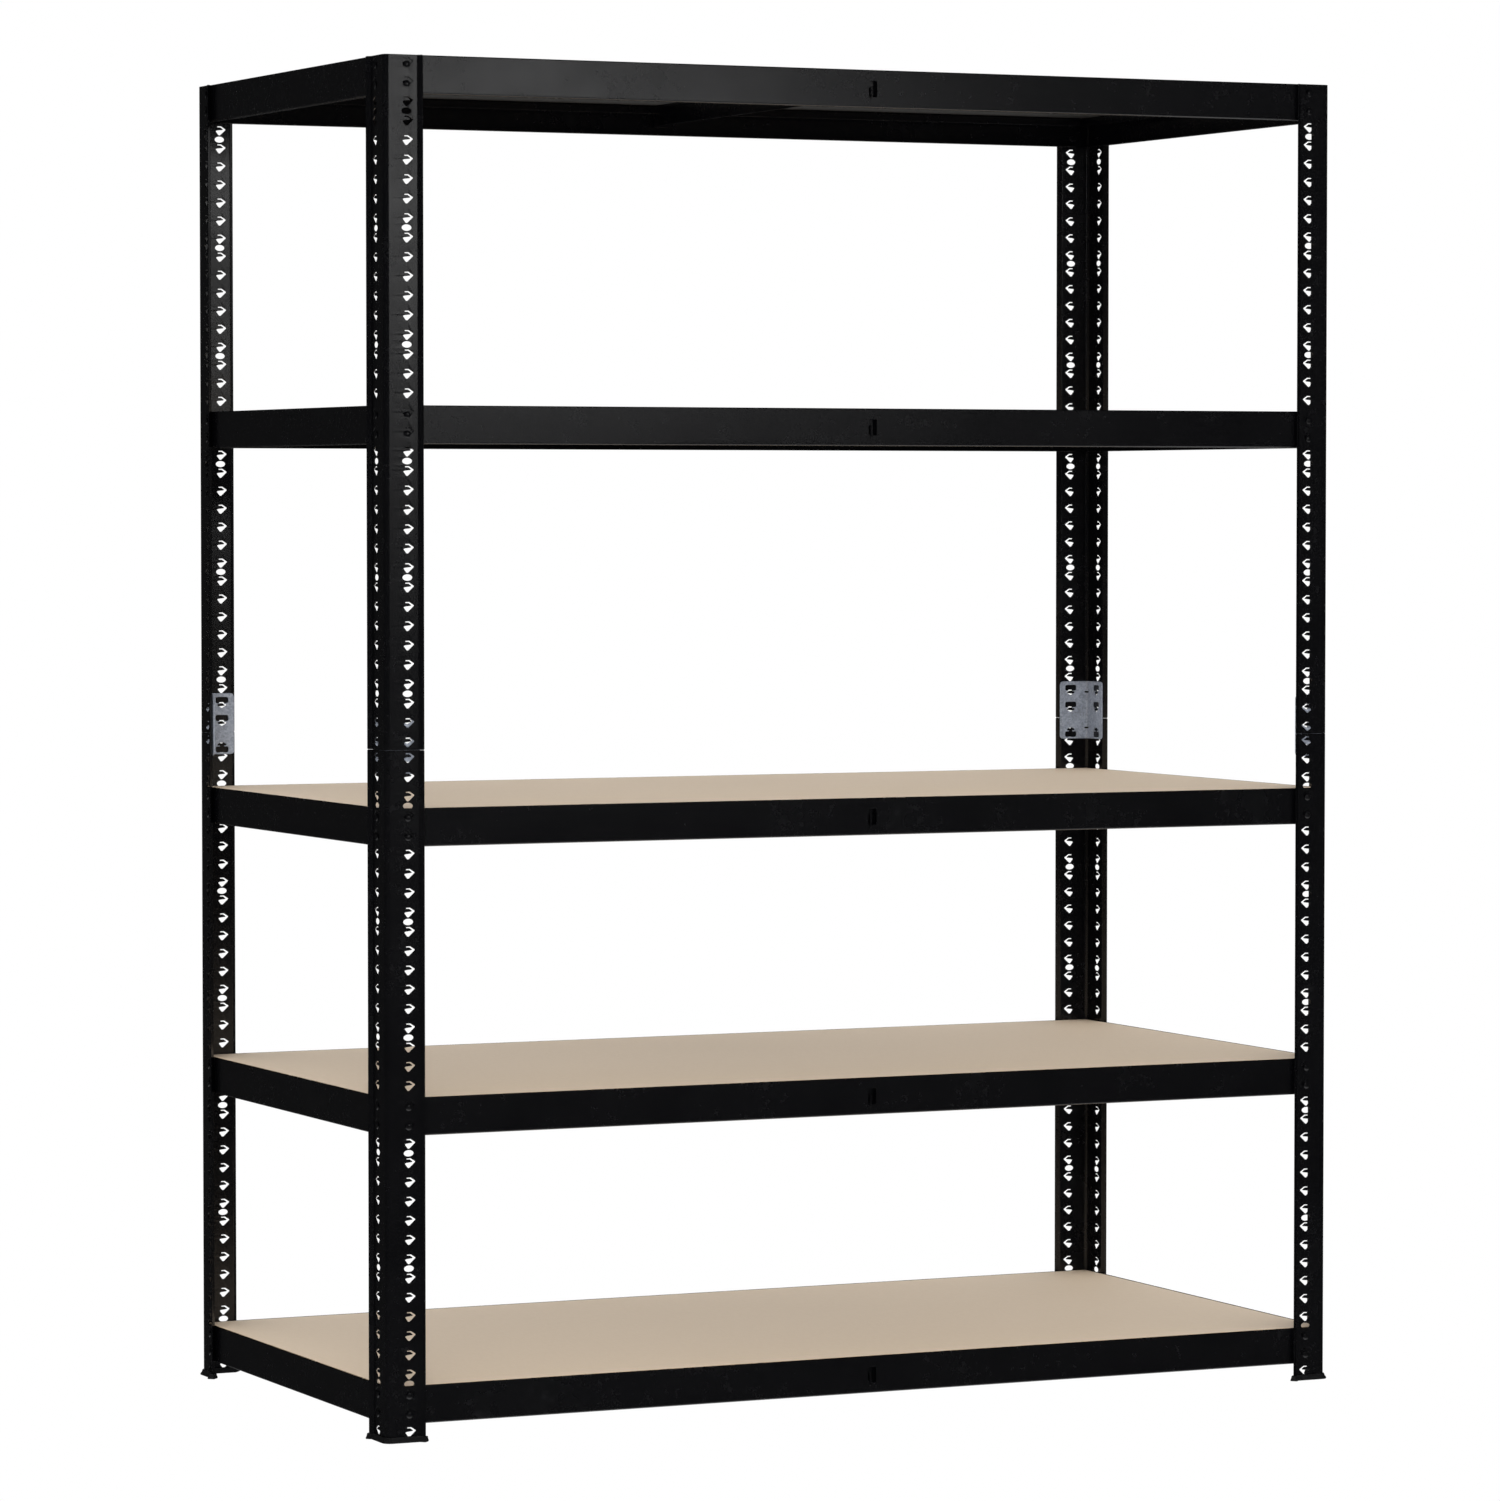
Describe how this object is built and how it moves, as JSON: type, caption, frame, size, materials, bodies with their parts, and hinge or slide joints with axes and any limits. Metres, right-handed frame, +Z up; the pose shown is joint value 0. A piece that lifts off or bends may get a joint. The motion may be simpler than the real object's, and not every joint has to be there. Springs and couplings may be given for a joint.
{
  "type": "boltless steel shelving",
  "caption": "Free-standing boltless rack: shelf boards on riveted steel beams that hang in the keyholes of two-piece angle uprights.",
  "frame": {"origin": "on the floor, under the middle of the rack's footprint", "axes": "+X along the long side, +Y from the front to the back, +Z up"},
  "size_m": [1.4212, 0.7212, 1.793],
  "materials": {
    "black_powder_coat": "semi-gloss black powder coat",
    "galvanised_steel": "galvanised, spangled",
    "fibreboard": "raw pressed fibreboard",
    "black_plastic": "moulded, fine grain"
  },
  "bodies": {
    "uprights": {"upper_upright_front_left": "black_powder_coat", "lower_upright_front_left": "black_powder_coat", "upright_connector_front_left": "galvanised_steel", "foot_front_left": "black_plastic", "upper_upright_front_right": "black_powder_coat", "lower_upright_front_right": "black_powder_coat", "upright_connector_front_right": "galvanised_steel", "foot_front_right": "black_plastic", "upper_upright_back_right": "black_powder_coat", "lower_upright_back_right": "black_powder_coat", "upright_connector_back_right": "galvanised_steel", "foot_back_right": "black_plastic", "upper_upright_back_left": "black_powder_coat", "lower_upright_back_left": "black_powder_coat", "upright_connector_back_left": "galvanised_steel", "foot_back_left": "black_plastic"},
    "shelf_1_frame": {"shelf_1_front_beam": "black_powder_coat", "shelf_1_back_beam": "black_powder_coat", "shelf_1_left_beam": "black_powder_coat", "shelf_1_right_beam": "black_powder_coat", "shelf_1_centre_support": "black_powder_coat"},
    "shelf_1_board": {"shelf_1_board": "fibreboard"},
    "shelf_2_frame": {"shelf_2_front_beam": "black_powder_coat", "shelf_2_back_beam": "black_powder_coat", "shelf_2_left_beam": "black_powder_coat", "shelf_2_right_beam": "black_powder_coat", "shelf_2_centre_support": "black_powder_coat"},
    "shelf_2_board": {"shelf_2_board": "fibreboard"},
    "shelf_3_frame": {"shelf_3_front_beam": "black_powder_coat", "shelf_3_back_beam": "black_powder_coat", "shelf_3_left_beam": "black_powder_coat", "shelf_3_right_beam": "black_powder_coat", "shelf_3_centre_support": "black_powder_coat"},
    "shelf_3_board": {"shelf_3_board": "fibreboard"},
    "shelf_4_frame": {"shelf_4_front_beam": "black_powder_coat", "shelf_4_back_beam": "black_powder_coat", "shelf_4_left_beam": "black_powder_coat", "shelf_4_right_beam": "black_powder_coat", "shelf_4_centre_support": "black_powder_coat"},
    "shelf_4_board": {"shelf_4_board": "fibreboard"},
    "shelf_5_frame": {"shelf_5_front_beam": "black_powder_coat", "shelf_5_back_beam": "black_powder_coat", "shelf_5_left_beam": "black_powder_coat", "shelf_5_right_beam": "black_powder_coat", "shelf_5_centre_support": "black_powder_coat"},
    "shelf_5_board": {"shelf_5_board": "fibreboard"}
  },
  "joints": [
    {"name": "shelf_1_unlock_lift", "type": "slide", "parent": "uprights", "child": "shelf_1_frame", "axis": [0, 0, 1], "range_m": [0, 0.004]},
    {"name": "shelf_1_board_lift", "type": "slide", "parent": "shelf_1_frame", "child": "shelf_1_board", "axis": [0, 0, 1], "range_m": [0, 0.12]},
    {"name": "shelf_2_unlock_lift", "type": "slide", "parent": "uprights", "child": "shelf_2_frame", "axis": [0, 0, 1], "range_m": [0, 0.004]},
    {"name": "shelf_2_board_lift", "type": "slide", "parent": "shelf_2_frame", "child": "shelf_2_board", "axis": [0, 0, 1], "range_m": [0, 0.12]},
    {"name": "shelf_3_unlock_lift", "type": "slide", "parent": "uprights", "child": "shelf_3_frame", "axis": [0, 0, 1], "range_m": [0, 0.004]},
    {"name": "shelf_3_board_lift", "type": "slide", "parent": "shelf_3_frame", "child": "shelf_3_board", "axis": [0, 0, 1], "range_m": [0, 0.12]},
    {"name": "shelf_4_unlock_lift", "type": "slide", "parent": "uprights", "child": "shelf_4_frame", "axis": [0, 0, 1], "range_m": [0, 0.004]},
    {"name": "shelf_4_board_lift", "type": "slide", "parent": "shelf_4_frame", "child": "shelf_4_board", "axis": [0, 0, 1], "range_m": [0, 0.12]},
    {"name": "shelf_5_unlock_lift", "type": "slide", "parent": "uprights", "child": "shelf_5_frame", "axis": [0, 0, 1], "range_m": [0, 0.004]},
    {"name": "shelf_5_board_lift", "type": "slide", "parent": "shelf_5_frame", "child": "shelf_5_board", "axis": [0, 0, 1], "range_m": [0, 0.12]}
  ]
}
